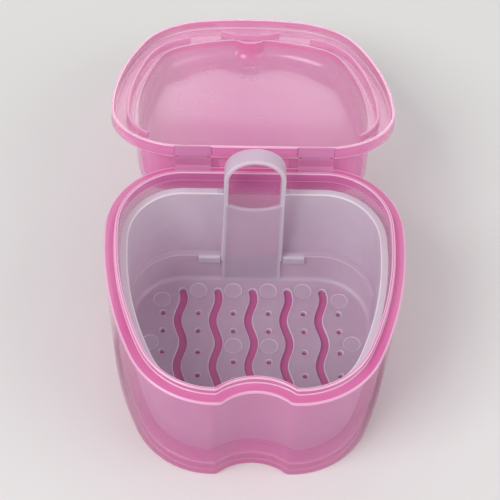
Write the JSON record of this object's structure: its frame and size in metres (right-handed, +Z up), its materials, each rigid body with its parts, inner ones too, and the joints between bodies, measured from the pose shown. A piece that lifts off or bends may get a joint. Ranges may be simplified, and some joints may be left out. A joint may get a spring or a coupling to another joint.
{
  "type": "denture case",
  "caption": "Apple-shaped translucent denture case: a deep cup with a finger notch, a domed lid on strap hinges and a lift-out strainer basket with a loop handle.",
  "frame": {"origin": "centre of the resting face under the cup's foot ring", "axes": "+Z up out of the cup, -Y to the front (finger notch), +Y to the back (hinges), X across the case, along the hinge line"},
  "size_m": [0.0952, 0.1742, 0.0664],
  "materials": {
    "pink_pp": "glossy translucent pink polypropylene",
    "natural_pp": "satin natural translucent polypropylene",
    "hinge_pp": "satin pale translucent polypropylene"
  },
  "bodies": {
    "case": {"cup": "pink_pp", "left_hinge_cup_leaf": "hinge_pp", "right_hinge_cup_leaf": "hinge_pp", "left_hinge_film": "hinge_pp", "right_hinge_film": "hinge_pp"},
    "cover": {"lid": "pink_pp", "left_hinge_lid_leaf": "hinge_pp", "right_hinge_lid_leaf": "hinge_pp"},
    "basket": {"strainer_basket": "natural_pp"}
  },
  "joints": [
    {"name": "lid_hinge", "type": "hinge", "parent": "case", "child": "cover", "pos_m": [0, 0.04445, 0.0522], "axis": [1, 0, 0], "range_deg": [0, 199.5], "deforming": ["left_hinge_film", "right_hinge_film"]},
    {"name": "basket_lift", "type": "slide", "parent": "case", "child": "basket", "axis": [0, 0, 1], "range_m": [0, 0.07]}
  ]
}
